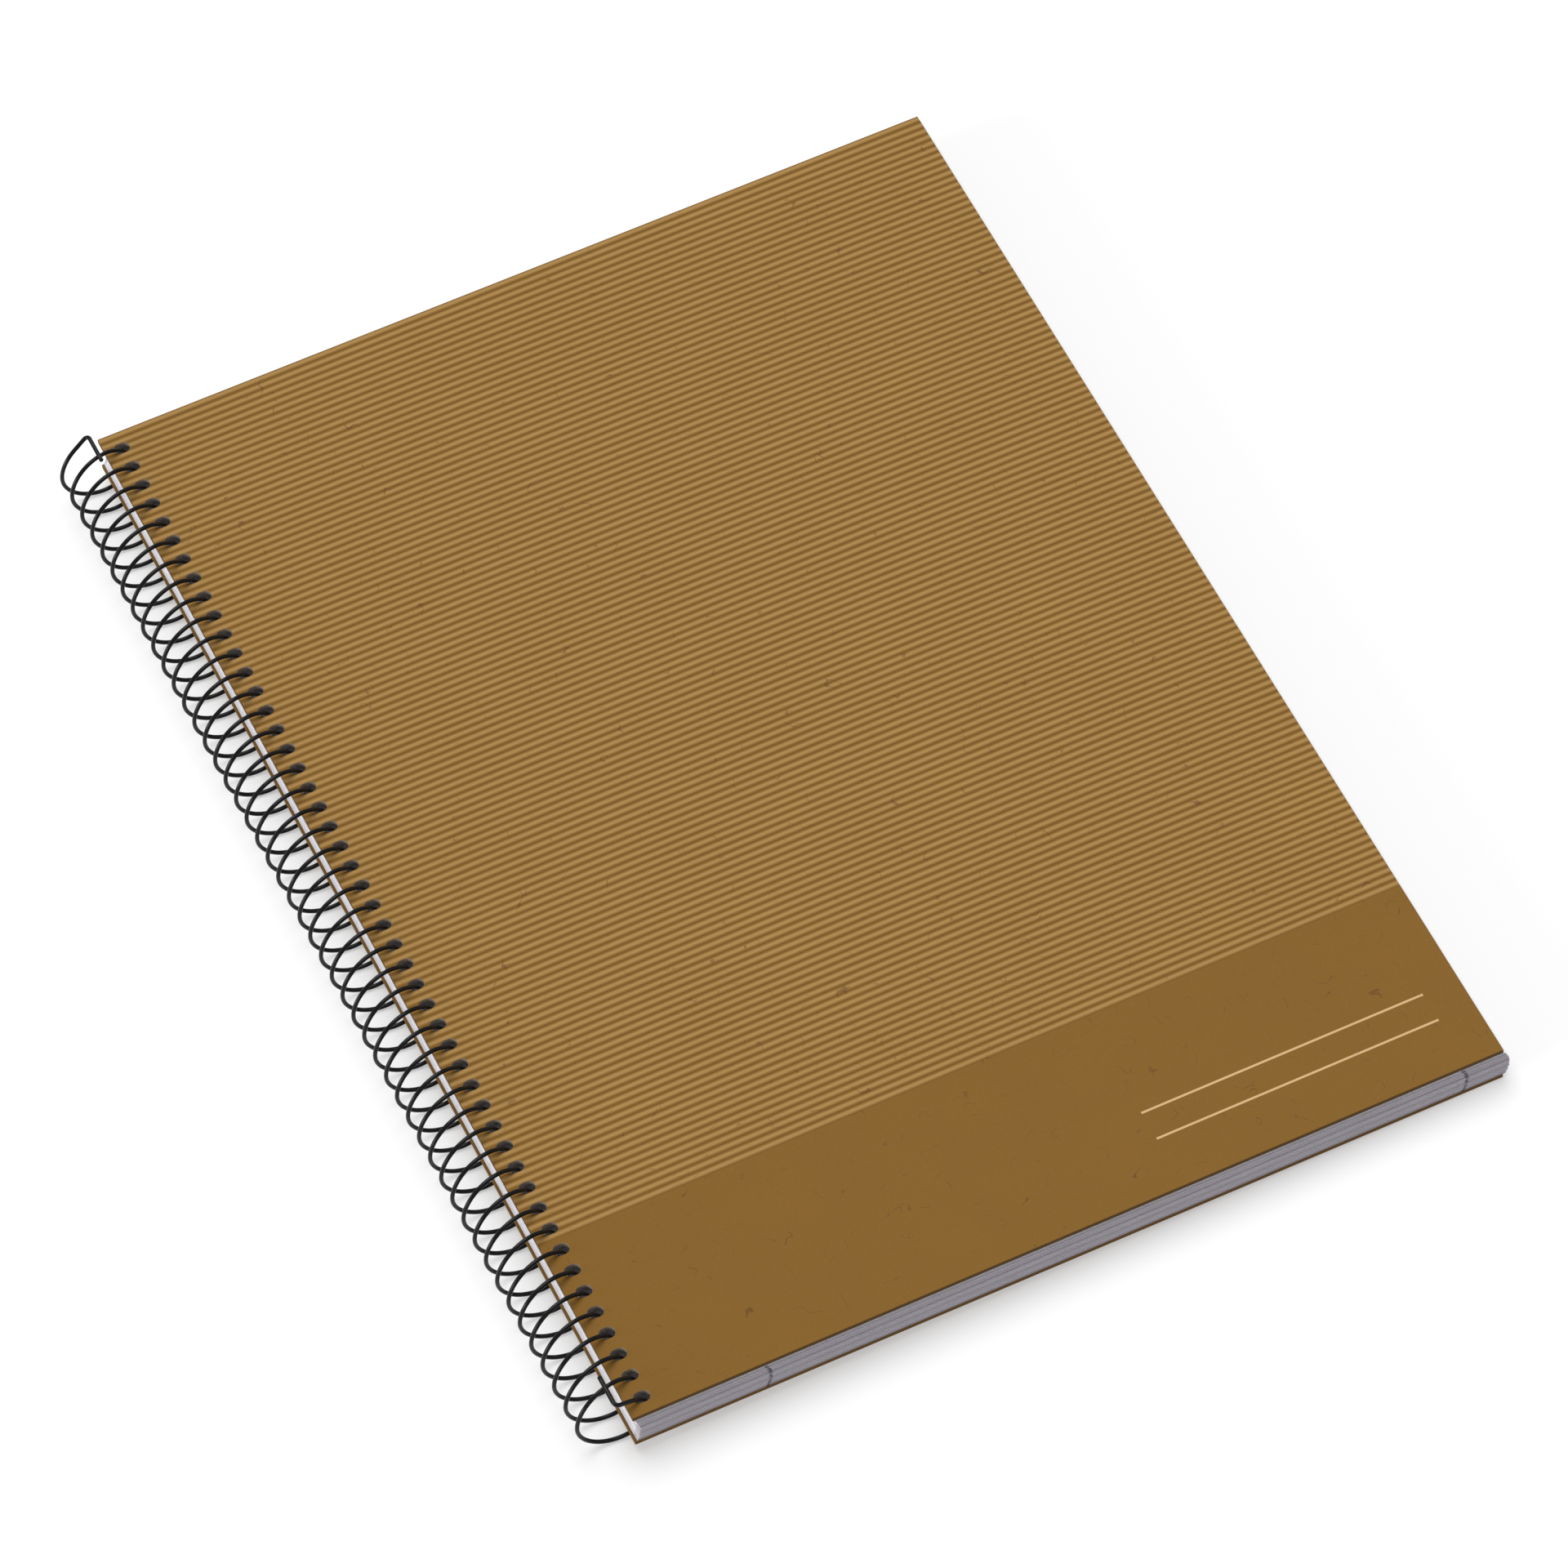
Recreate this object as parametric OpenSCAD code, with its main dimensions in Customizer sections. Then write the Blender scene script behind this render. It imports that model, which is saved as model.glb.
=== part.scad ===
// Coil-bound A4 sketchbook: two kraft board covers, a block of loose leaves and one spiral wire.
// Everything hangs on the spiral's axis, which runs along Y. The closed book rests on the
// underside of the spiral and on the back cover's fore-edge, so it leans down a little towards +X.

/* [Sheets] */
// Width of a cover or leaf from spine edge to fore-edge (mm)
sheet_width = 210; // [148:1:297]
// Height of a cover or leaf along the spiral (mm)
sheet_height = 297; // [210:1:420]
// Thickness of one cover board (mm)
cover_thickness = 1.2; // [0.4:0.1:1.5]
// Thickness of one leaf (mm)
leaf_thickness = 0.15; // [0.1:0.01:0.3]
// Air left between neighbouring sheets (mm)
leaf_gap = 0.03; // [0.02:0.005:0.05]

/* [Punching] */
// Distance from one hole to the next along the spine (mm)
hole_pitch = 6; // [5:0.25:7]
// Play left between the wire and the rim of its hole where the wire swings furthest (mm)
hole_play = 0.46; // [0.4:0.02:0.6]
// Distance from the spine edge to the hole centres (mm)
hole_inset = 4.1; // [3.6:0.1:6]
// How far the row of holes stands from the middle of the sheet towards its top edge (mm)
row_offset = 0.5; // [-1:0.1:1]
// Play around the wire in the front cover's holes, which turn with it (mm)
cover_play = 0.95; // [0.5:0.05:1.2]
// How much longer than wide the front cover's oblong holes are (mm)
cover_slot = 0.9; // [0.3:0.05:1.2]
// Least board or paper left between the last hole and the sheet's top or bottom edge (mm)
edge_margin = 0.8; // [0.6:0.1:2]

/* [Spiral] */
// Diameter of the coated wire (mm)
wire_diameter = 1.0; // [0.8:0.05:1.2]
// How far the wire's centre line stands above and below the closed book (mm)
spiral_room = 2.74; // [2.4:0.02:6]
// Share of each turn's advance that is made over the upper half of the turn
upper_share = 0.7; // [0.65:0.01:0.8]
// Length of each bent-over end along the spine (mm)
crimp_length = 7; // [5:0.5:9]

/* [Hidden] */
leaf_count = 46;

// kraft board, white paper, black coated wire
kraft = [0.55, 0.40, 0.21];
paper = [0.94, 0.94, 0.95];
black = [0.05, 0.05, 0.055];

leaf_step = leaf_thickness + leaf_gap;
block = leaf_count * leaf_step + leaf_gap;
total_thickness = block + 2 * cover_thickness;
// height of a cover's middle above the spiral's axis
cover_z = block / 2 + cover_thickness / 2;

wire_r = wire_diameter / 2;

// half-width of the spiral between wire centres, and the radius the hole centres ride on
turn_a = total_thickness / 2 + spiral_room;
ride_r = turn_a + 0.15;
upper_step = hole_pitch * upper_share;
lower_step = hole_pitch - upper_step;
upper_tilt = atan(upper_step / (2 * turn_a));
lower_tilt = atan(lower_step / (2 * turn_a));
upper_r = turn_a / cos(upper_tilt);
lower_r = turn_a / cos(lower_tilt);

// the beads that close each bent length, and the gap inside each of them
bead_r = wire_r * 1.03;
joint_gap = wire_r * 0.1;
// where a bent-over end leaves its turn, how far it runs straight, and its bend's radius
crimp_angle = 62;
crimp_bend = wire_diameter;
// how far past a right angle the end bends, so that it lies along the spine, and the way it turns
over_bend = asin(sin(crimp_angle) * sin(upper_tilt));
tail_turn = atan(cos(crimp_angle) * tan(upper_tilt));
crimp_over = upper_r * (1 - sin(crimp_angle)) + 2.2 * wire_r + 0.15;
crimp_rise = crimp_over / cos(crimp_angle) - crimp_bend * (1 + sin(over_bend)) / cos(over_bend);
crimp_x = upper_r * cos(crimp_angle) - crimp_rise * sin(crimp_angle);
crimp_z = upper_r * sin(crimp_angle) + crimp_rise * cos(crimp_angle);

// the wire's y at the right-hand side of a turn, against that turn's holes: it puts the wire as
// far to one side of the holes when the book is closed as it is to the other when it lies open
cover_angle = asin(cover_z / ride_r);
closed_shift = upper_step * (1 - cos(cover_angle)) / 2;
open_shift = lower_step + upper_step * (1 - cos(cover_angle)) / 2;
wire_shift = -(open_shift - closed_shift) / 2;

// the leaves' and back cover's holes are round, and wide enough for the wire at both ends of that
// swing. The front cover carries the wire round with it, so its holes are smaller, and their lower
// rims line up with the others'.
hole_r = wire_r + (open_shift + closed_shift) / 2 + hole_play;
cover_hole_r = wire_r + cover_play;

// as many holes as fit between the sheet's top and bottom edges
hole_count = floor((sheet_height - 2 * (hole_r + edge_margin + abs(row_offset))) / hole_pitch) + 1;
first_hole = row_offset - (hole_count - 1) * hole_pitch / 2;

// the spiral's underside and the back cover's lower fore-edge corner are both at z = 0
axis_height = lower_r + wire_r;
back_far_x = sqrt(ride_r * ride_r - cover_z * cover_z) - hole_inset + sheet_width;
back_far_z = total_thickness / 2;
back_far_r = sqrt(back_far_x * back_far_x + back_far_z * back_far_z);
lean = asin(axis_height / back_far_r) - atan(back_far_z / back_far_x);

eps = 0.001;

module book() {
    translate([0, 0, axis_height]) rotate([0, lean, 0]) children();
}

// a sheet whose middle is z above the spiral's axis, moved so that its holes ride on the spiral
module sheet(z, thickness) {
    ride_x = sqrt(ride_r * ride_r - z * z);
    translate([ride_x, 0, z - thickness / 2]) linear_extrude(thickness) difference() {
        translate([-hole_inset, -sheet_height / 2]) square([sheet_width, sheet_height]);
        for (i = [0:hole_count - 1]) translate([0, first_hole + i * hole_pitch]) children();
    }
}

module round_hole() {
    circle(r = hole_r, $fn = 48);
}

module oblong_hole() {
    translate([0, cover_hole_r - hole_r]) {
        for (side = [-1, 1]) translate([side * cover_slot / 2, 0]) circle(r = cover_hole_r, $fn = 48);
        translate([-cover_slot / 2, -cover_hole_r]) square([cover_slot, 2 * cover_hole_r]);
    }
}

module leaf(n) {
    color(paper) book() sheet(block / 2 - leaf_gap - leaf_thickness / 2 - (n - 1) * leaf_step, leaf_thickness) round_hole();
}

module front_cover() {
    color(kraft) book() sheet(cover_z, cover_thickness) oblong_hole();
}

module back_cover() {
    color(kraft) book() sheet(-cover_z, cover_thickness) round_hole();
}

// one length of wire bent to radius r, from angle a to angle b, as seen along the spine. Its ends
// stop just short and are closed by beads, which join it to the next length.
module bent(r, a, b) {
    trim = joint_gap / r * 180 / PI;
    rotate([90, 0, 0]) rotate_extrude(angle = b - a - 2 * trim, start = a + trim, $fn = 96)
        translate([r, 0]) circle(r = wire_r, $fn = 32);
}

module bead() {
    sphere(r = bead_r, $fn = 32);
}

// one turn's upper half, from the right-hand side over the top to the left-hand side
module upper_half(y) {
    translate([0, y - upper_step / 2, 0]) rotate([0, 0, upper_tilt]) bent(upper_r, 0, 180);
    translate([-turn_a, y - upper_step, 0]) bead();
}

// one turn's lower half, from the left-hand side down and round to the right-hand side
module lower_half(y) {
    translate([0, y - upper_step - lower_step / 2, 0]) rotate([0, 0, -lower_tilt]) bent(lower_r, 180, 360);
    translate([turn_a, y - hole_pitch, 0]) bead();
}

function turn_y(i) = first_hole + i * hole_pitch + wire_shift;

// a bent-over end: the wire leaves its turn at crimp_angle, runs straight until it is high enough
// to pass over the next turn, and then bends to run along the spine. It is drawn about the middle
// of its own upper half turn.
module crimped_end() {
    rotate([0, 0, upper_tilt]) {
        bent(upper_r, 0, crimp_angle);
        translate([upper_r * cos(crimp_angle), 0, upper_r * sin(crimp_angle)]) {
            bead();
            rotate([0, -crimp_angle, 0]) translate([0, 0, joint_gap])
                cylinder(r = wire_r, h = crimp_rise - 2 * joint_gap, $fn = 32);
        }
        translate([crimp_x, 0, crimp_z]) rotate([0, -crimp_angle, 0]) rotate([0, 0, -tail_turn]) {
            bead();
            translate([0, crimp_bend, 0]) rotate([0, 0, -90]) bent(crimp_bend, 0, 90 + over_bend);
            translate([0, crimp_bend * (1 + sin(over_bend)), crimp_bend * cos(over_bend)])
                rotate([-90 - over_bend, 0, 0]) {
                    bead();
                    translate([0, 0, joint_gap]) cylinder(r = wire_r, h = crimp_length - joint_gap, $fn = 32);
                    translate([0, 0, crimp_length]) bead();
                }
        }
    }
}

module spiral_turns(from, to) {
    for (i = [from:to]) upper_half(turn_y(i));
    for (i = [from:to]) lower_half(turn_y(i));
}

module spiral_wire() {
    color(black) book() union() {
        for (i = [1:8:hole_count - 1]) union() spiral_turns(i, min(i + 7, hole_count - 1));
        lower_half(turn_y(hole_count));
        translate([0, turn_y(0) - upper_step / 2, 0]) crimped_end();
        translate([0, turn_y(hole_count) - upper_step / 2, 0]) rotate([0, 0, 180]) crimped_end();
        // the beads at the two ends' first joints
        translate([turn_a, turn_y(0), 0]) bead();
        translate([-turn_a, turn_y(hole_count) - upper_step, 0]) bead();
    }
}

front_cover();
back_cover();
spiral_wire();
leaf(1);  // leaf_01
leaf(2);  // leaf_02
leaf(3);  // leaf_03
leaf(4);  // leaf_04
leaf(5);  // leaf_05
leaf(6);  // leaf_06
leaf(7);  // leaf_07
leaf(8);  // leaf_08
leaf(9);  // leaf_09
leaf(10);  // leaf_10
leaf(11);  // leaf_11
leaf(12);  // leaf_12
leaf(13);  // leaf_13
leaf(14);  // leaf_14
leaf(15);  // leaf_15
leaf(16);  // leaf_16
leaf(17);  // leaf_17
leaf(18);  // leaf_18
leaf(19);  // leaf_19
leaf(20);  // leaf_20
leaf(21);  // leaf_21
leaf(22);  // leaf_22
leaf(23);  // leaf_23
leaf(24);  // leaf_24
leaf(25);  // leaf_25
leaf(26);  // leaf_26
leaf(27);  // leaf_27
leaf(28);  // leaf_28
leaf(29);  // leaf_29
leaf(30);  // leaf_30
leaf(31);  // leaf_31
leaf(32);  // leaf_32
leaf(33);  // leaf_33
leaf(34);  // leaf_34
leaf(35);  // leaf_35
leaf(36);  // leaf_36
leaf(37);  // leaf_37
leaf(38);  // leaf_38
leaf(39);  // leaf_39
leaf(40);  // leaf_40
leaf(41);  // leaf_41
leaf(42);  // leaf_42
leaf(43);  // leaf_43
leaf(44);  // leaf_44
leaf(45);  // leaf_45
leaf(46);  // leaf_46
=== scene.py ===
import math
import random

import bmesh
import bpy
from mathutils import Matrix, Vector


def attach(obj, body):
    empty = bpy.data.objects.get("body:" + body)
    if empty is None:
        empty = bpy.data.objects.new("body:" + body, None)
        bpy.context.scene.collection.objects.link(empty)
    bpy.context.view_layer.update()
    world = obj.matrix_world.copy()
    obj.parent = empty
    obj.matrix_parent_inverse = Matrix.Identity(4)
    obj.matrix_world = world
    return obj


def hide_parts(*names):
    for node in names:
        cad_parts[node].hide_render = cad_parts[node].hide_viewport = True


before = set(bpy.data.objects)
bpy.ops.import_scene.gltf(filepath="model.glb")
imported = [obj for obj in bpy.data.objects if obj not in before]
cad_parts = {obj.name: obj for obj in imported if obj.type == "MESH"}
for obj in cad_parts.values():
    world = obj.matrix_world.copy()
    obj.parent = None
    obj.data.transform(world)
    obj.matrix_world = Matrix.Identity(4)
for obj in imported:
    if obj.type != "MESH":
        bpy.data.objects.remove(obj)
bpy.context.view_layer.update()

# ---------------------------------------------------------------- sizes, in metres, as in the CAD
MM = 0.001
W, H = 210 * MM, 297 * MM
COVER_T, LEAF_T, LEAF_GAP, LEAVES = 1.2 * MM, 0.15 * MM, 0.03 * MM, 46
PITCH, INSET, WIRE_R, ROOM, SHARE = 6 * MM, 4.1 * MM, 0.5 * MM, 2.74 * MM, 0.7
HOLE_PLAY, CRIMP_LEN, CRIMP_DEG = 0.46 * MM, 7 * MM, 62.0
ROW_OFFSET, COVER_PLAY, COVER_SLOT, EDGE_MARGIN = 0.5 * MM, 0.95 * MM, 0.9 * MM, 0.8 * MM
RIDE_OUT = 0.15 * MM  # how far outside the wire's own circle the holes' middles ride
CRIMP_OVER = 0.15 * MM  # how far the bent-over ends clear the next turn

block = LEAVES * (LEAF_T + LEAF_GAP) + LEAF_GAP
thick = block + 2 * COVER_T
cover_z = block / 2 + COVER_T / 2
turn_a = thick / 2 + ROOM
ride_r = turn_a + RIDE_OUT
up_step = PITCH * SHARE
low_step = PITCH - up_step
up_tilt = math.atan(up_step / (2 * turn_a))
up_r = turn_a / math.cos(up_tilt)
low_r = turn_a / math.cos(math.atan(low_step / (2 * turn_a)))
cover_angle = math.asin(cover_z / ride_r)
closed_shift = up_step * (1 - math.cos(cover_angle)) / 2
open_shift = low_step + closed_shift
wire_shift = -(open_shift - closed_shift) / 2
HOLE_R = WIRE_R + (open_shift + closed_shift) / 2 + HOLE_PLAY
COVER_HOLE_R = WIRE_R + COVER_PLAY
holes = int((H - 2 * (HOLE_R + EDGE_MARGIN + ROW_OFFSET)) / PITCH) + 1
first_hole = ROW_OFFSET - (holes - 1) * PITCH / 2
axis_h = low_r + WIRE_R
far_x = math.sqrt(ride_r ** 2 - cover_z ** 2) - INSET + W
lean = math.asin(axis_h / math.hypot(far_x, thick / 2)) - math.atan2(thick / 2, far_x)
BOOK = Matrix.Translation((0, 0, axis_h)) @ Matrix.Rotation(lean, 4, "Y")


def ride_x(z):
    """The holes' middle, outwards from the spiral's axis, in a sheet z above that axis."""
    return math.sqrt(ride_r ** 2 - z ** 2)


# ---------------------------------------------------------------- materials
def lin(*rgb):
    """Linear colour from 0-255 display values."""
    return tuple(
        (c / 255 / 12.92 if c / 255 <= 0.04045 else ((c / 255 + 0.055) / 1.055) ** 2.4) for c in rgb
    ) + (1.0,)


class Nodes:
    """A few short calls for building a node tree."""

    def __init__(self, name):
        self.mat = bpy.data.materials.new(name)
        self.mat.use_nodes = True
        self.tree = self.mat.node_tree
        self.tree.nodes.clear()
        self.out = self.add("ShaderNodeOutputMaterial")
        self.bsdf = self.add("ShaderNodeBsdfPrincipled")
        self.link(self.bsdf.outputs[0], self.out.inputs[0])

    def add(self, kind, **props):
        n = self.tree.nodes.new(kind)
        for k, v in props.items():
            setattr(n, k, v)
        return n

    def link(self, a, b):
        self.tree.links.new(a, b)

    def put(self, value, socket):
        if hasattr(value, "links"):
            self.link(value, socket)
        else:
            socket.default_value = value

    def math(self, op, a, b=0.0, c=0.0):
        n = self.add("ShaderNodeMath", operation=op)
        for v, s in zip((a, b, c), n.inputs):
            self.put(v, s)
        return n.outputs[0]

    def ramp(self, fac, lo, hi, a=0.0, b=1.0, smooth=True):
        n = self.add("ShaderNodeMapRange", interpolation_type="SMOOTHSTEP" if smooth else "LINEAR")
        for v, s in zip((fac, lo, hi, a, b), n.inputs):
            self.put(v, s)
        return n.outputs[0]

    def mix(self, fac, a, b, blend="MIX"):
        n = self.add("ShaderNodeMix", data_type="RGBA", blend_type=blend)
        self.put(fac, n.inputs[0])
        self.put(a, n.inputs[6])
        self.put(b, n.inputs[7])
        return n.outputs[2]

    def within(self, value, middle, reach):
        """1 where the value is less than reach from the middle, and 0 elsewhere."""
        off = self.math("ABSOLUTE", self.math("SUBTRACT", value, middle))
        return self.math("LESS_THAN", off, reach)

    def colour(self, base, tone):
        """The surface's colour: base, made lighter or darker by tone."""
        shade = self.add("ShaderNodeCombineColor")
        for s in shade.inputs:
            self.link(tone, s)
        mixed = self.mix(1.0, base, shade.outputs[0], "MULTIPLY")
        self.link(mixed, self.bsdf.inputs["Base Color"])

    def page(self, scale=(1, 1, 1)):
        """The page coordinates, in metres from the sheet's lower spine corner."""
        uv = self.add("ShaderNodeUVMap", uv_map="page")
        m = self.add("ShaderNodeMapping")
        m.inputs["Scale"].default_value = scale
        self.link(uv.outputs[0], m.inputs[0])
        return m.outputs[0]

    def noise(self, vector, scale, detail=3.0, rough=0.55):
        n = self.add("ShaderNodeTexNoise")
        self.link(vector, n.inputs["Vector"])
        n.inputs["Scale"].default_value = scale
        n.inputs["Detail"].default_value = detail
        n.inputs["Roughness"].default_value = rough
        return n.outputs[0]

    def bump(self, height, strength, distance):
        n = self.add("ShaderNodeBump")
        n.inputs["Strength"].default_value = strength
        n.inputs["Distance"].default_value = distance
        self.link(height, n.inputs["Height"])
        self.link(n.outputs[0], self.bsdf.inputs["Normal"])


KRAFT = (0.1850, 0.0900, 0.0115, 1)
# painted shade and painted light of the ribs: darker kraft for the valleys, lighter kraft for the
# crests
KRAFT_RIB_SHADE = (0.1500, 0.0680, 0.0040, 1)
KRAFT_RIB_LIGHT = (0.3280, 0.1900, 0.0570, 1)
INK = (0.56, 0.37, 0.178, 1)
SPECK = (0.080, 0.026, 0.009, 1)
RIB = 2.0 * MM  # from crest to crest
RIB_FROM = 49.2 * MM  # the top of the plain band
RIB_DEPTH = 0.022 * MM  # half the height of the relief
LINES_Y = (21.0 * MM, 13.5 * MM)  # the two writing lines
LINE_MIDDLE, LINE_HALF, LINE_HALF_WIDTH = 166.5 * MM, 34.5 * MM, 0.28 * MM
# two sets of short fibres: place, noise scale, threshold, line width, depth of colour
FIBRES = ((0.0, 150, 0.635, 0.006, -0.55), (3.1, 230, 0.64, 0.007, -0.45))
MARKS_X = (31.0 * MM, 199.5 * MM)  # the register marks across the block's cut edges
MARK_HALF_WIDTH = 0.42 * MM
MARK_COLOUR = lin(46, 32, 66)


def kraft(name, printed=False, shade_dim=1.0):
    """Kraft board. The printed side has ribs whose crests are painted lighter and whose valleys are
    painted darker, as their light and shade, and two writing lines; the dimming factor darkens it all
    as painted shade.
    """
    m = Nodes(name)
    p = m.page()
    sep = m.add("ShaderNodeSeparateXYZ")
    m.link(p, sep.inputs[0])
    x, y = sep.outputs[0], sep.outputs[1]
    base = KRAFT
    if printed:
        # painted light and shade of the ribs, over their real shallow relief: light crests every 2 mm
        # above the plain band
        above = m.math("SUBTRACT", y, RIB_FROM + RIB / 2)
        wave = m.math("COSINE", m.math("MULTIPLY", above, 2 * math.pi / RIB))
        wave = m.math("MULTIPLY_ADD", wave, 0.5, 0.5)
        field = m.ramp(y, RIB_FROM - 0.1 * MM, RIB_FROM + 0.1 * MM)
        rib_light_and_shade = m.mix(wave, KRAFT_RIB_SHADE, KRAFT_RIB_LIGHT)
        base = m.mix(field, KRAFT, rib_light_and_shade)
        # two blank writing lines, in place of the photographed cover's marks
        ink = None
        for line_y in LINES_Y:
            on = m.within(y, line_y, LINE_HALF_WIDTH)
            on = m.math("MULTIPLY", on, m.within(x, LINE_MIDDLE, LINE_HALF))
            ink = on if ink is None else m.math("MAXIMUM", ink, on)
        worn = m.ramp(m.noise(p, 5200, 2), 0.30, 0.42, 0.55, 1.0)
        base = m.mix(m.math("MULTIPLY", ink, worn), base, INK)
    # slow cloudiness, grain, long fibres both ways, and a few darker and lighter flecks
    # with the dimming factor below 1, this cloudiness also paints shade over the whole surface
    cloud = m.ramp(m.noise(p, 42, 4), 0.3, 0.7, 0.975 * shade_dim, 1.025 * shade_dim, False)
    grain = m.ramp(m.noise(p, 3400, 2, 0.6), 0.25, 0.75, 0.955, 1.045, False)
    along = m.noise(m.page((0.16, 1, 1)), 2600, 3, 0.6)
    across = m.noise(m.page((1, 0.22, 1)), 1500, 3, 0.6)
    fibre = m.ramp(along, 0.62, 0.74, 0.0, 0.07)
    fibre = m.math("ADD", fibre, m.ramp(across, 0.64, 0.76, 0.0, -0.06))
    # specks, and sparse short fibres: thin level lines of one noise, kept only where another peaks
    dark = m.ramp(m.noise(m.page((0.6, 1, 1)), 1500, 1, 0.4), 0.76, 0.80, 0.0, -0.25)
    light = m.ramp(m.noise(m.page((1, 0.5, 1)), 1100, 1, 0.4), 0.77, 0.81, 0.0, 0.18)
    for shift, size, keep, width, depth in FIBRES:
        at = m.add("ShaderNodeVectorMath", operation="ADD")
        m.link(p, at.inputs[0])
        at.inputs[1].default_value = (shift, shift * 0.7, 0)
        off = m.math("ABSOLUTE", m.math("SUBTRACT", m.noise(at.outputs[0], size, 1, 0.4), 0.5))
        line = m.ramp(off, 0.0, width, 1.0, 0.0)
        spot = m.ramp(m.noise(at.outputs[0], size * 1.3, 0, 0.5), keep, keep + 0.05)
        dark = m.math("MULTIPLY_ADD", m.math("MULTIPLY", line, spot), depth, dark)
    tone = m.math("ADD", m.math("MULTIPLY", cloud, grain), fibre)
    tone = m.math("ADD", tone, light)
    base = m.mix(m.math("MULTIPLY", dark, -1.0), base, SPECK)
    m.colour(base, tone)
    rough = m.ramp(m.noise(p, 1200, 3), 0.3, 0.7, 0.78, 0.90, False)
    m.link(rough, m.bsdf.inputs["Roughness"])
    m.bsdf.inputs["Specular IOR Level"].default_value = 0.28
    height = m.math("MULTIPLY", m.noise(p, 2800, 4, 0.65), 0.6)
    m.bump(m.math("ADD", height, m.math("MULTIPLY", along, 0.4)), 0.35, 0.05 * MM)
    return m.mat


def white_paper(name, base, edge=False):
    """Paper. The cut edges also have each leaf's own tone and the register marks."""
    m = Nodes(name)
    p = m.page()
    cloud = m.ramp(m.noise(p, 60, 3), 0.3, 0.7, 0.985, 1.01, False)
    tooth = m.ramp(m.noise(p, 2600, 3, 0.6), 0.25, 0.75, 0.975, 1.015, False)
    tone = m.math("MULTIPLY", cloud, tooth)
    if edge:
        # each leaf has its own slight tone, which shows as layers along the block's edges
        info = m.add("ShaderNodeAttribute", attribute_name="leaf_tone")
        own = m.add("ShaderNodeVectorMath", operation="MULTIPLY_ADD")
        m.link(info.outputs["Fac"], own.inputs[0])
        own.inputs[1].default_value = (0, 7, 3)
        m.link(m.page((0.35, 0.35, 1)), own.inputs[2])
        streak = m.ramp(m.noise(own.outputs[0], 300, 3, 0.6), 0.3, 0.7, 0.84, 1.12, False)
        tone = m.math("MULTIPLY", m.math("MULTIPLY", tone, streak), info.outputs["Fac"])
        sep = m.add("ShaderNodeSeparateXYZ")
        m.link(p, sep.inputs[0])
        rule = None
        for at in MARKS_X:
            on = m.within(sep.outputs[0], at, MARK_HALF_WIDTH)
            rule = on if rule is None else m.math("MAXIMUM", rule, on)
        base = m.mix(rule, base, MARK_COLOUR)
    m.colour(base, tone)
    m.bsdf.inputs["Roughness"].default_value = 0.84
    m.bsdf.inputs["Specular IOR Level"].default_value = 0.2
    m.bump(m.noise(p, 2600, 4, 0.6), 0.2, 0.03 * MM)
    return m.mat


def black_wire(name):
    """Black coated wire, a little greyer in spots."""
    m = Nodes(name)
    place = m.add("ShaderNodeTexCoord").outputs["Object"]
    wear = m.ramp(m.noise(place, 900, 4, 0.6), 0.60, 0.80)
    coat = m.mix(wear, (0.0045, 0.0045, 0.005, 1), (0.013, 0.013, 0.014, 1))
    m.link(coat, m.bsdf.inputs["Base Color"])
    rough = m.ramp(m.noise(place, 260, 3), 0.3, 0.7, 0.2, 0.32, False)
    m.link(rough, m.bsdf.inputs["Roughness"])
    m.bsdf.inputs["Specular IOR Level"].default_value = 0.16
    m.bsdf.inputs["Coat Weight"].default_value = 0.07
    m.bsdf.inputs["Coat Roughness"].default_value = 0.2
    m.bump(m.noise(place, 2200, 3), 0.12, 0.02 * MM)
    return m.mat


kraft_print = kraft("kraft_ribbed", printed=True)
kraft_plain = kraft("kraft_plain")
# painted shade on the boards' cut edges: the front board's are darkened most, for the shadow along its
# edge and under its overhang, the back board's less, for the contact shadow near the floor
front_edge_shaded = kraft("front_cut_edge_painted_shade", shade_dim=0.44)
back_edge_shaded = kraft("back_cut_edge_painted_shade", shade_dim=0.64)
paper = white_paper("white_leaf", (0.80, 0.80, 0.815, 1))
# painted shade: the block's top, bottom and fore-edge get a dark lilac grey, far darker than the same
# paper's faces
paper_edge_shaded = white_paper("white_leaf_cut_edge_painted_shade", (0.335, 0.298, 0.350, 1), edge=True)
# painted light: the spine edge is made whiter than the same paper's faces, as if lit from the spine
# side
paper_spine_lit = white_paper("white_leaf_spine_edge_painted_light", (0.90, 0.87, 0.93, 1), edge=True)
paper_hole = white_paper("white_leaf_hole_rim", (0.74, 0.69, 0.69, 1), edge=True)
# the boards' hole walls: a grey-beige core, partly the board's own colour and partly a painted
# highlight that stands in for the wire's glint where it dips into each hole
board_core_and_glint = white_paper("board_hole_wall_and_glint", (0.34, 0.28, 0.22, 1))
wire_black = black_wire("black_coated_wire")


# ---------------------------------------------------------------- sheets with their row of holes
def hole_rim(angle, oblong):
    """The rim's point in the given direction from the hole's middle, and that middle's place."""
    c, s = math.cos(angle), math.sin(angle)
    if not oblong:
        return INSET + HOLE_R * c, HOLE_R * s
    half, r = COVER_SLOT / 2, COVER_HOLE_R
    t = r / max(abs(s), 1e-9)
    if abs(t * c) > half:
        t = half * abs(c) + math.sqrt(r * r - (half * s) ** 2)
    return INSET + t * c, COVER_HOLE_R - HOLE_R + t * s


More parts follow.
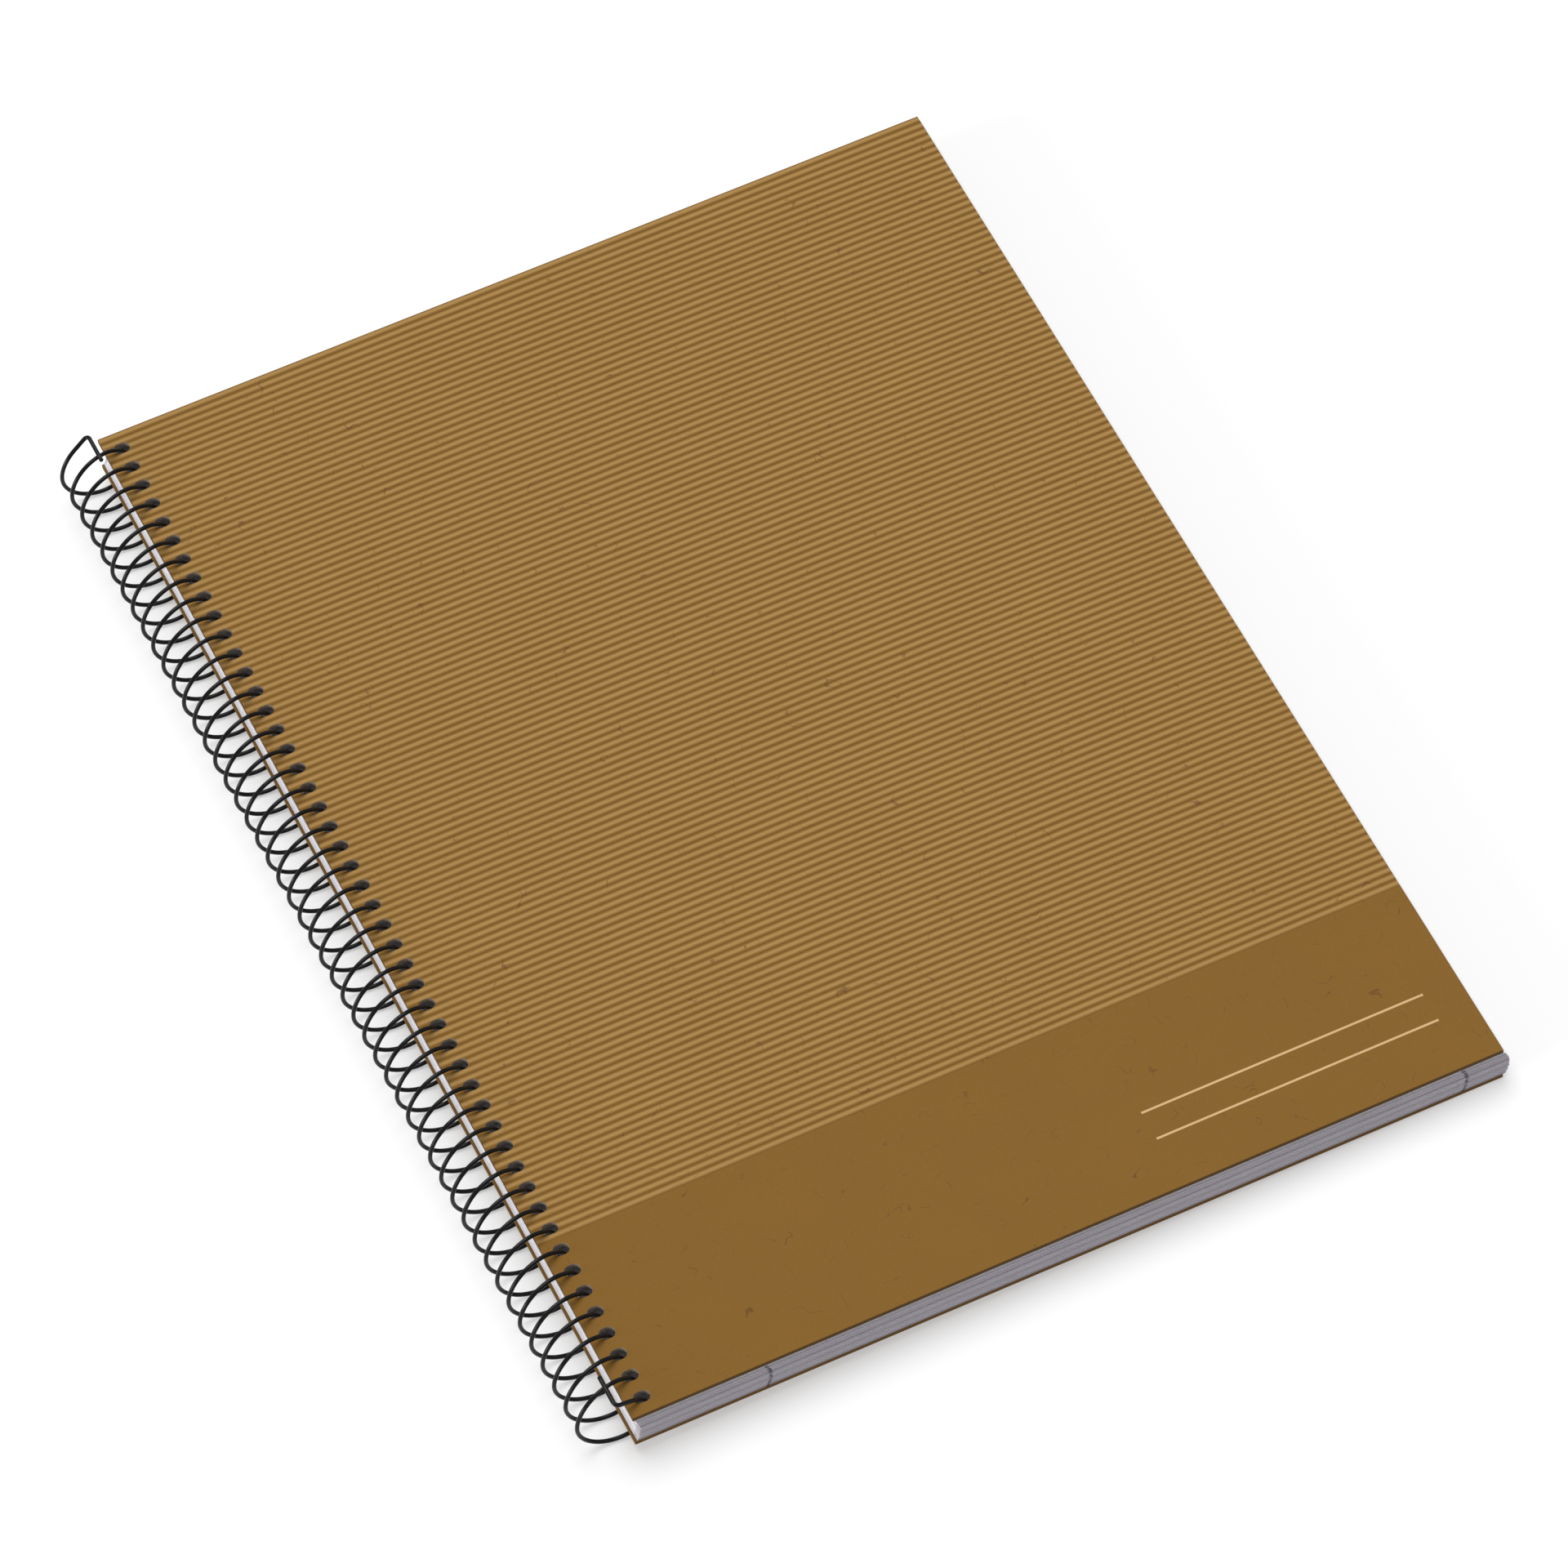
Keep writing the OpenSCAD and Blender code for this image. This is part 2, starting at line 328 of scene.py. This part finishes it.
def punched_sheet(name, z, t, ring=48, rings=2, rows=4, columns=2, ribbed=False, slip=(0.0, 0.0)):
    """A sheet whose middle is z above the spiral's axis. Each hole sits in its own cell of quads,
    and the cells' outer sides carry on as rows across the rest of the sheet. ring is the number
    of sides of each hole, rings the number of rings of quads around it on the upper face, and rows
    the number of rows to one hole's pitch. ribbed is the front cover, with oblong holes."""
    bm = bmesh.new()
    uv = bm.loops.layers.uv.new("page")
    strip = 2 * INSET
    x0 = -INSET + slip[0]
    top = t / 2

    def height(y):
        if not ribbed or y < RIB_FROM or y > H - 0.05 * MM:
            return top
        # crests reach the CAD surface, and the valleys lie a little under it
        return top - RIB_DEPTH * (1 + math.cos(2 * math.pi * (y - RIB_FROM) / RIB))

    made = {}

    def vert(x, y, upper):
        key = (round(x * 1e7), round(y * 1e7), upper)
        if key not in made:
            made[key] = bm.verts.new((x + x0, y - H / 2 + slip[1], z + (height(y) if upper else -top)))
        return made[key]

    def quad(points, upper):
        vs = [vert(x, y, upper) for x, y in points]
        if not upper:
            vs.reverse()
        bm.faces.new(vs)

    # the cell's outline: right side up, top side leftwards, left side down, bottom side rightwards
    flat = (ring - 2 * rows) // 2
    base = first_hole + H / 2
    outline = []
    for i in range(rows):
        outline.append((strip, -PITCH / 2 + PITCH * i / rows))
    for i in range(flat):
        outline.append((strip - strip * i / flat, PITCH / 2))
    for i in range(rows):
        outline.append((0.0, PITCH / 2 - PITCH * i / rows))
    for i in range(flat):
        outline.append((strip * i / flat, -PITCH / 2))
    n = len(outline)
    # the rim's points, moved two thirds of the way to even spacing
    angles = [math.atan2(y, x - INSET) for x, y in outline]
    angles = [v if v >= angles[0] - 1e-9 else v + 2 * math.pi for v in angles]
    even = [angles[0] + 2 * math.pi * i / n for i in range(n)]
    rim = [hole_rim(0.35 * v + 0.65 * e, ribbed) for v, e in zip(angles, even)]

    for upper in (True, False):
        steps = rings if upper else 1
        for h in range(holes):
            cy = base + h * PITCH
            for k in range(steps):
                f, g = k / steps, (k + 1) / steps
                for i in range(n):
                    j = (i + 1) % n
                    pts = []
                    for idx, w in ((i, f), (i, g), (j, g), (j, f)):
                        rx, ry = rim[idx]
                        ox, oy = outline[idx]
                        pts.append((rx + (ox - rx) * w, cy + ry + (oy - ry) * w))
                    quad(pts, upper)
        # the rest of the sheet, in rows that carry on the cells' sides
        low = base - PITCH / 2
        edge_rows = max(1, round(low / (PITCH / rows)))
        ys = [low * i / edge_rows for i in range(edge_rows)]
        ys += [low + PITCH * i / rows for i in range(holes * rows)]
        end = low + holes * PITCH
        ys += [end + (H - end) * i / edge_rows for i in range(edge_rows + 1)]
        xs = [strip + (W - strip) * i / columns for i in range(columns + 1)]
        for a, b in zip(ys, ys[1:]):
            for c, d in zip(xs, xs[1:]):
                quad([(c, a), (d, a), (d, b), (c, b)], upper)
        # the margins above the last cell and below the first
        cols = [strip * i / flat for i in range(flat + 1)]
        spans = list(zip(ys, ys[1:]))
        for a, b in spans[:edge_rows] + spans[-edge_rows:]:
            for c, d in zip(cols, cols[1:]):
                quad([(c, a), (d, a), (d, b), (c, b)], upper)
    # walls between the two faces' open edges
    key_of = {v: key for key, v in made.items()}
    for e in [e for e in bm.edges if e.is_boundary]:
        loop = e.link_loops[0]
        ends = (loop.vert, loop.link_loop_next.vert)
        if not key_of[ends[0]][2]:
            continue
        below = [made.get((*key_of[v][:2], False)) for v in ends]
        if None in below:
            raise RuntimeError(f"{name}: the two faces' rims don't match")
        bm.faces.new((ends[1], ends[0], below[0], below[1]))
    for f in bm.faces:
        for l in f.loops:
            co = l.vert.co
            l[uv].uv = (co.x - x0, co.y + H / 2 - slip[1])
    return bm


def finish_sheet(bm, name, node, z, mats, bevel=0.0, tone=None):
    """mats: the upper face, the lower face, the cut edges, the spine edge and the holes' walls."""
    bm.normal_update()
    for f in bm.faces:
        n, c = f.normal, f.calc_center_median()
        if abs(n.z) > 0.7:
            f.material_index = 0 if n.z > 0 else 1
        elif -H / 2 + MM < c.y < H / 2 - MM and c.x < W - INSET - MM:
            f.material_index = 3 if c.x < -INSET + 0.3 * MM else 4
        else:
            f.material_index = 2
        f.smooth = True
    me = bpy.data.meshes.new(name)
    bm.to_mesh(me)
    bm.free()
    for m in mats:
        me.materials.append(m)
    me.transform(BOOK @ Matrix.Translation((ride_x(z), 0, 0)))
    me.set_sharp_from_angle(angle=math.radians(35))
    ob = bpy.data.objects.new(name, me)
    bpy.context.collection.objects.link(ob)
    if tone is not None:
        at = me.attributes.new("leaf_tone", "FLOAT", "POINT")
        at.data.foreach_set("value", [tone] * len(me.vertices))
    if bevel:
        mod = ob.modifiers.new("edge", "BEVEL")
        mod.width = bevel
        mod.segments = 2
        mod.limit_method = "ANGLE"
        mod.angle_limit = math.radians(50)
    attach(ob, node)
    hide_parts(node)


BOARD_BEVEL = 0.07 * MM
front = punched_sheet("front", cover_z, COVER_T, ring=96, rings=5, rows=24, columns=3, ribbed=True)
front_mats = [kraft_print, kraft_plain, front_edge_shaded, front_edge_shaded, board_core_and_glint]
finish_sheet(front, "front_board", "front_cover", cover_z, front_mats, BOARD_BEVEL)
back = punched_sheet("back", -cover_z, COVER_T, ring=64, rings=2, rows=8, columns=3)
back_mats = [kraft_plain, kraft_plain, back_edge_shaded, back_edge_shaded, board_core_and_glint]
finish_sheet(back, "back_board", "back_cover", -cover_z, back_mats, BOARD_BEVEL)

rng = random.Random(7)
# how far a leaf may stand out of line, in mm, and how far its tone may differ
SLIP_X, SLIP_Y, TONE = (-0.10, 0.10), (-0.12, 0.10), (0.90, 1.06)
# the slow change of tone down the block's cut edges, leaf by leaf
LAYER = (1.22, 1.16, 1.04, 0.90, 0.76, 0.66, 0.74, 0.88, 1.02, 1.10, 0.98, 0.88, 1.12)
leaf_mats = [paper, paper, paper_edge_shaded, paper_spine_lit, paper_hole]
for k in range(1, LEAVES + 1):
    z = block / 2 - LEAF_GAP - LEAF_T / 2 - (k - 1) * (LEAF_T + LEAF_GAP)
    slip = (rng.uniform(*SLIP_X) * MM, rng.uniform(*SLIP_Y) * MM)
    tone = LAYER[k % len(LAYER)] * rng.uniform(*TONE)
    name = f"leaf_{k:02d}"
    bm = punched_sheet(name, z, LEAF_T, ring=32, rings=1, rows=4, columns=1, slip=slip)
    finish_sheet(bm, f"sheet_{k:02d}", name, z, leaf_mats, tone=tone)


# ---------------------------------------------------------------- the spiral, one smooth swept wire
HALF_STEPS, PART_STEPS = 30, 12  # points along a half turn, and along a bend or part of a turn
RISE_STEPS, END_STEPS = 6, 8  # points along the crimp's rise, and along its straight end
DOME = ((0.82, 0.22), (0.45, 0.36))  # each ring's share of the wire's radius, and its lift
SIDES = 16


def turn_y(i):
    return first_hole + i * PITCH + wire_shift


def upper(i, deg):
    """A point of turn i's upper half, from 0 degrees at the sheets to 180 outside the spine."""
    a = math.radians(deg)
    y = turn_y(i) - up_step * (1 - math.cos(a)) / 2
    return Vector((turn_a * math.cos(a), y, up_r * math.sin(a)))


def lower(i, deg):
    """A point of turn i's lower half, from 180 degrees outside the spine to 360 at the sheets."""
    a = math.radians(deg)
    y = turn_y(i) - up_step - low_step * (1 + math.cos(a)) / 2
    return Vector((turn_a * math.cos(a), y, low_r * math.sin(a)))


def crimp():
    """The bent-over end, about the middle of its upper half turn, from the turn out to its tip."""
    c = math.radians(CRIMP_DEG)
    bend = 2 * WIRE_R
    turn = Matrix.Rotation(up_tilt, 3, "Z")
    t = turn @ Vector((-math.sin(c), 0, math.cos(c)))
    p = turn @ Vector((up_r * math.cos(c), 0, up_r * math.sin(c)))
    over = math.asin(math.sin(c) * math.sin(up_tilt))
    rise = (up_r * (1 - math.sin(c)) + 2.2 * WIRE_R + CRIMP_OVER) / math.cos(c)
    rise -= bend * (1 + math.sin(over)) / math.cos(over)
    along = Vector((0, 1, 0))
    s = (along - t * along.dot(t)).normalized()
    pts = [p + t * rise * i / RISE_STEPS for i in range(1, RISE_STEPS + 1)]
    q = p + t * rise
    steps = [(math.pi / 2 + over) * i / PART_STEPS for i in range(1, PART_STEPS + 1)]
    pts += [q + s * bend * (1 - math.cos(v)) + t * bend * math.sin(v) for v in steps]
    r = pts[-1]
    return pts + [r + along * CRIMP_LEN * i / END_STEPS for i in range(1, END_STEPS + 1)]


tip = crimp()
mid = Vector((0, turn_y(0) - up_step / 2, 0))
path = [mid + v for v in reversed(tip)]
path += [upper(0, CRIMP_DEG * (1 - i / PART_STEPS)) for i in range(PART_STEPS + 1)]
for i in range(1, holes + 1):
    path += [lower(i, 360 - 180 * j / HALF_STEPS) for j in range(1, HALF_STEPS + 1)]
    if i < holes:
        path += [upper(i, 180 - 180 * j / HALF_STEPS) for j in range(1, HALF_STEPS + 1)]
path += [upper(holes, 180 - CRIMP_DEG * j / PART_STEPS) for j in range(1, PART_STEPS + 1)]
mid = Vector((0, turn_y(holes) - up_step / 2, 0))
half = Matrix.Rotation(math.pi, 3, "Z")
path += [mid + half @ v for v in tip]

me = bpy.data.meshes.new("spiral")
verts, faces = [], []
tang = [(path[min(i + 1, len(path) - 1)] - path[max(i - 1, 0)]).normalized() for i in range(len(path))]
up = Vector((1, 0, 0)).cross(tang[0]).normalized()
for i, (p, t) in enumerate(zip(path, tang)):
    up = (up - t * up.dot(t)).normalized()
    s = t.cross(up)
    for k in range(SIDES):
        a = 2 * math.pi * k / SIDES
        verts.append(p + (up * math.cos(a) + s * math.sin(a)) * WIRE_R)
for i in range(len(path) - 1):
    for k in range(SIDES):
        a, b = i * SIDES + k, i * SIDES + (k + 1) % SIDES
        faces.append((a, b, b + SIDES, a + SIDES))
# cut ends, slightly domed
for at, out in ((0, -1), (len(path) - 1, 1)):
    prev = [at * SIDES + k for k in range(SIDES)]
    for share, lift in DOME:
        ringv = []
        for k in range(SIDES):
            v = verts[at * SIDES + k]
            ringv.append(len(verts))
            verts.append(path[at] + (v - path[at]) * share + tang[at] * out * lift * WIRE_R)
        for k in range(SIDES):
            a, b, c, d = prev[k], prev[(k + 1) % SIDES], ringv[(k + 1) % SIDES], ringv[k]
            faces.append((a, b, c, d) if out > 0 else (d, c, b, a))
        prev = ringv
    faces.append(tuple(prev) if out > 0 else tuple(reversed(prev)))
me.from_pydata([tuple(v) for v in verts], [], faces)
me.materials.append(wire_black)
me.transform(BOOK)
for poly in me.polygons:
    poly.use_smooth = True
fixed = bmesh.new()
fixed.from_mesh(me)
bmesh.ops.recalc_face_normals(fixed, faces=fixed.faces)
fixed.to_mesh(me)
fixed.free()
spiral = bpy.data.objects.new("spiral", me)
bpy.context.collection.objects.link(spiral)
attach(spiral, "spiral_wire")
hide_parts("spiral_wire")

# ---------------------------------------------------------------- floor, light, camera
FLOOR_GREY, FLOOR_GLOW, WORLD_LIGHT = 0.485, 0.40, 0.42
FLOOR_SIZE, FLOOR_DROP = 12, 0.2 * MM
floor_mat = Nodes("studio_floor")
floor_mat.bsdf.inputs["Base Color"].default_value = (FLOOR_GREY, FLOOR_GREY, FLOOR_GREY, 1)
floor_mat.bsdf.inputs["Roughness"].default_value = 0.9
floor_mat.bsdf.inputs["Emission Color"].default_value = (1, 1, 1, 1)
floor_mat.bsdf.inputs["Emission Strength"].default_value = FLOOR_GLOW
bpy.ops.mesh.primitive_plane_add(size=FLOOR_SIZE, location=(0.1, 0, -FLOOR_DROP))
floor = bpy.context.object
floor.name = "studio_floor"
floor.data.materials.append(floor_mat.mat)

world = bpy.data.worlds.new("studio")
bpy.context.scene.world = world
world.use_nodes = True
world.node_tree.nodes["Background"].inputs[0].default_value = (1, 1, 1, 1)
world.node_tree.nodes["Background"].inputs[1].default_value = WORLD_LIGHT


def sun(name, direction, power, spread):
    light = bpy.data.lights.new(name, "SUN")
    light.energy = power
    light.angle = math.radians(spread)
    ob = bpy.data.objects.new(name, light)
    bpy.context.collection.objects.link(ob)
    ob.rotation_euler = Vector(direction).to_track_quat("-Z", "Y").to_euler()


sun("key", (-0.06, -0.30, -0.95), power=2.5, spread=50)
sun("low_side", (0.98, 0.05, -0.20), power=1.8, spread=30)
bpy.context.scene.view_settings.view_transform = "Standard"

# the photograph's viewing angle, measured against the front cover's own plane: degrees and metres,
# and the point of the cover that the view is centred on, from its lower spine corner
AZIMUTH, ELEVATION, ROLL, DISTANCE = -21.4, 54.4, -4.6, 2.1566
AIM = (99.9 * MM, 136.4 * MM, 0)
LENS, SENSOR = 221, 36
az, el = math.radians(AZIMUTH), math.radians(ELEVATION)
back_dir = Vector((math.sin(az) * math.cos(el), -math.cos(az) * math.cos(el), math.sin(el)))
right = Vector((math.cos(az), math.sin(az), 0))
upv = back_dir.cross(right)
r = math.radians(ROLL)
right, upv = right * math.cos(r) + upv * math.sin(r), upv * math.cos(r) - right * math.sin(r)
page = BOOK @ Matrix.Translation((ride_x(cover_z) - INSET, -H / 2, cover_z + COVER_T / 2))
spin = Matrix((right, upv, back_dir)).transposed().to_4x4()
camera = bpy.data.objects.new("camera", bpy.data.cameras.new("camera"))
camera.data.lens = LENS
camera.data.sensor_width = SENSOR
camera.data.clip_end = 50
camera.matrix_world = page @ Matrix.Translation(Vector(AIM) + back_dir * DISTANCE) @ spin
bpy.context.collection.objects.link(camera)
bpy.context.scene.camera = camera
